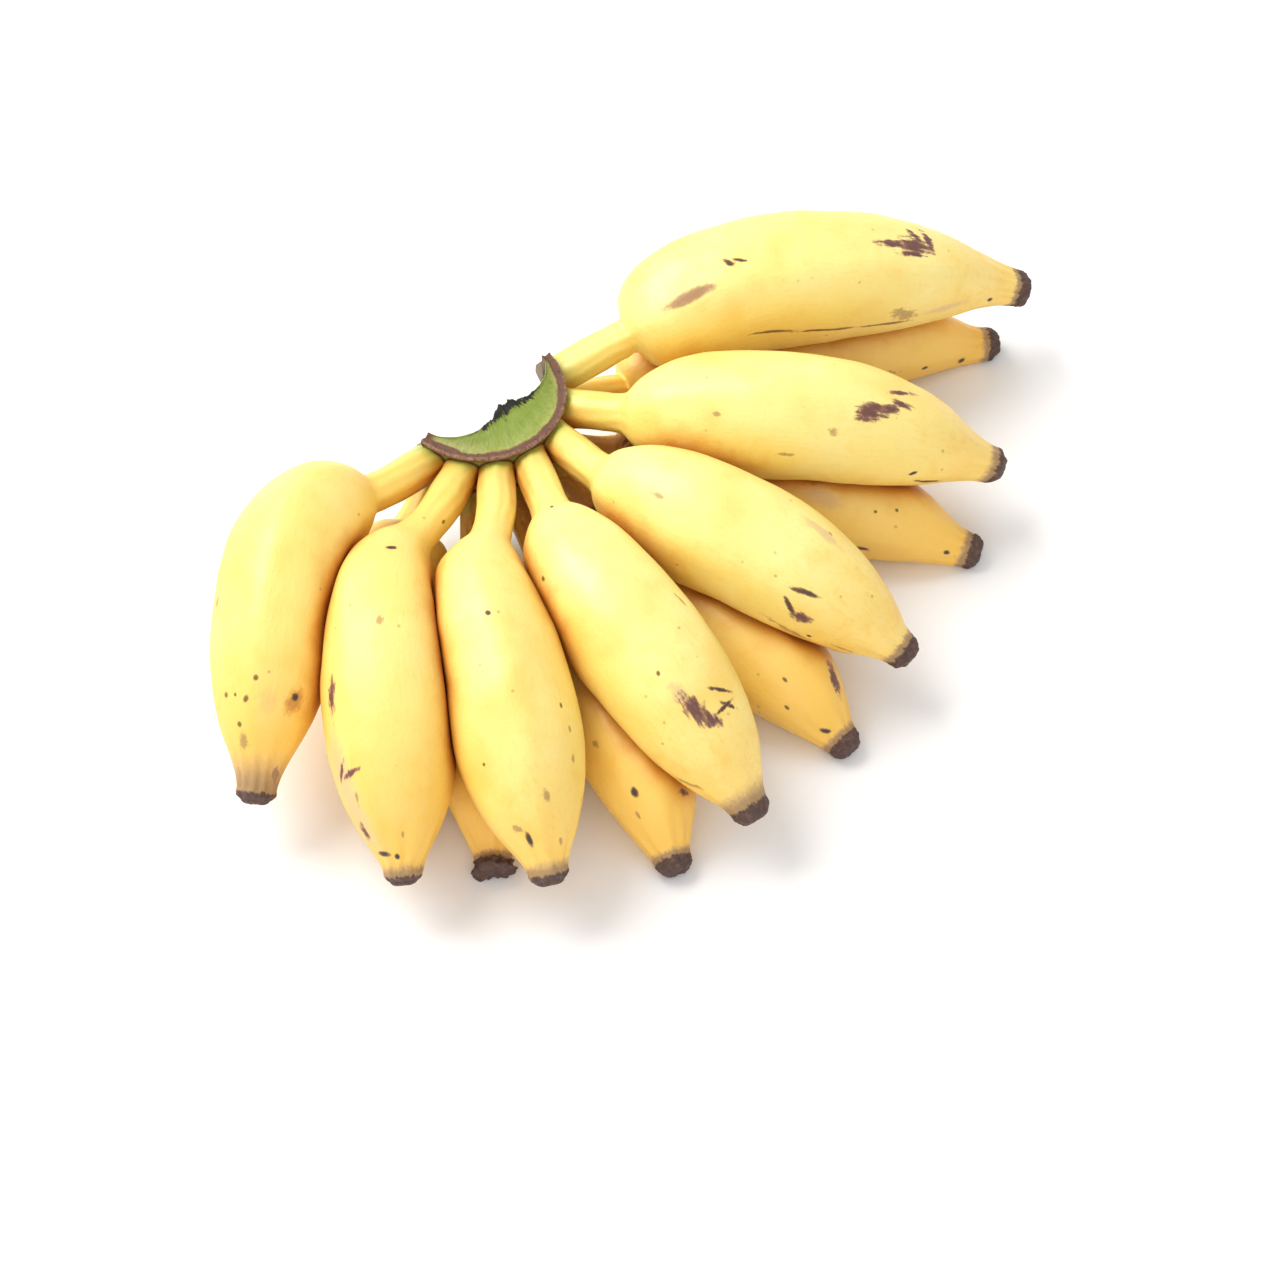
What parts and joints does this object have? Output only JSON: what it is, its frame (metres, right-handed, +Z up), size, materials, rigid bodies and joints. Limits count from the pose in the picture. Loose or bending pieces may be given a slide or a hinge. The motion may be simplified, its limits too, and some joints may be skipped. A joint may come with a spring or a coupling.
{
  "type": "bunch of bananas",
  "caption": "Hand of small, stout ripe bananas lying on a table: staggered rows of curved fingers fan out from a short, cut crown.",
  "frame": {"origin": "under the middle of the hand's bounding box, on the table that it lies on", "axes": "+Z up from the table; +X along the longest side of the bounding box, from the crown towards the right-hand tips; -Y towards the viewer, the way the front fingers point"},
  "size_m": [0.227, 0.2076, 0.0622],
  "materials": {
    "banana_peel": "ripe yellow banana peel, satin, green where it meets the crown, brown bruises and brown-black tips",
    "cut_crown": "dry cut stalk, matt, green top with a brown rim and a blackened cut edge"
  },
  "bodies": {
    "root": {"crown": "cut_crown", "upper_banana_1": "banana_peel", "upper_banana_2": "banana_peel", "upper_banana_3": "banana_peel", "upper_banana_4": "banana_peel", "upper_banana_5": "banana_peel", "upper_banana_6": "banana_peel", "upper_banana_7": "banana_peel", "lower_banana_1": "banana_peel", "lower_banana_2": "banana_peel", "lower_banana_3": "banana_peel", "lower_banana_4": "banana_peel", "lower_banana_5": "banana_peel", "lower_banana_6": "banana_peel"}
  },
  "joints": []
}
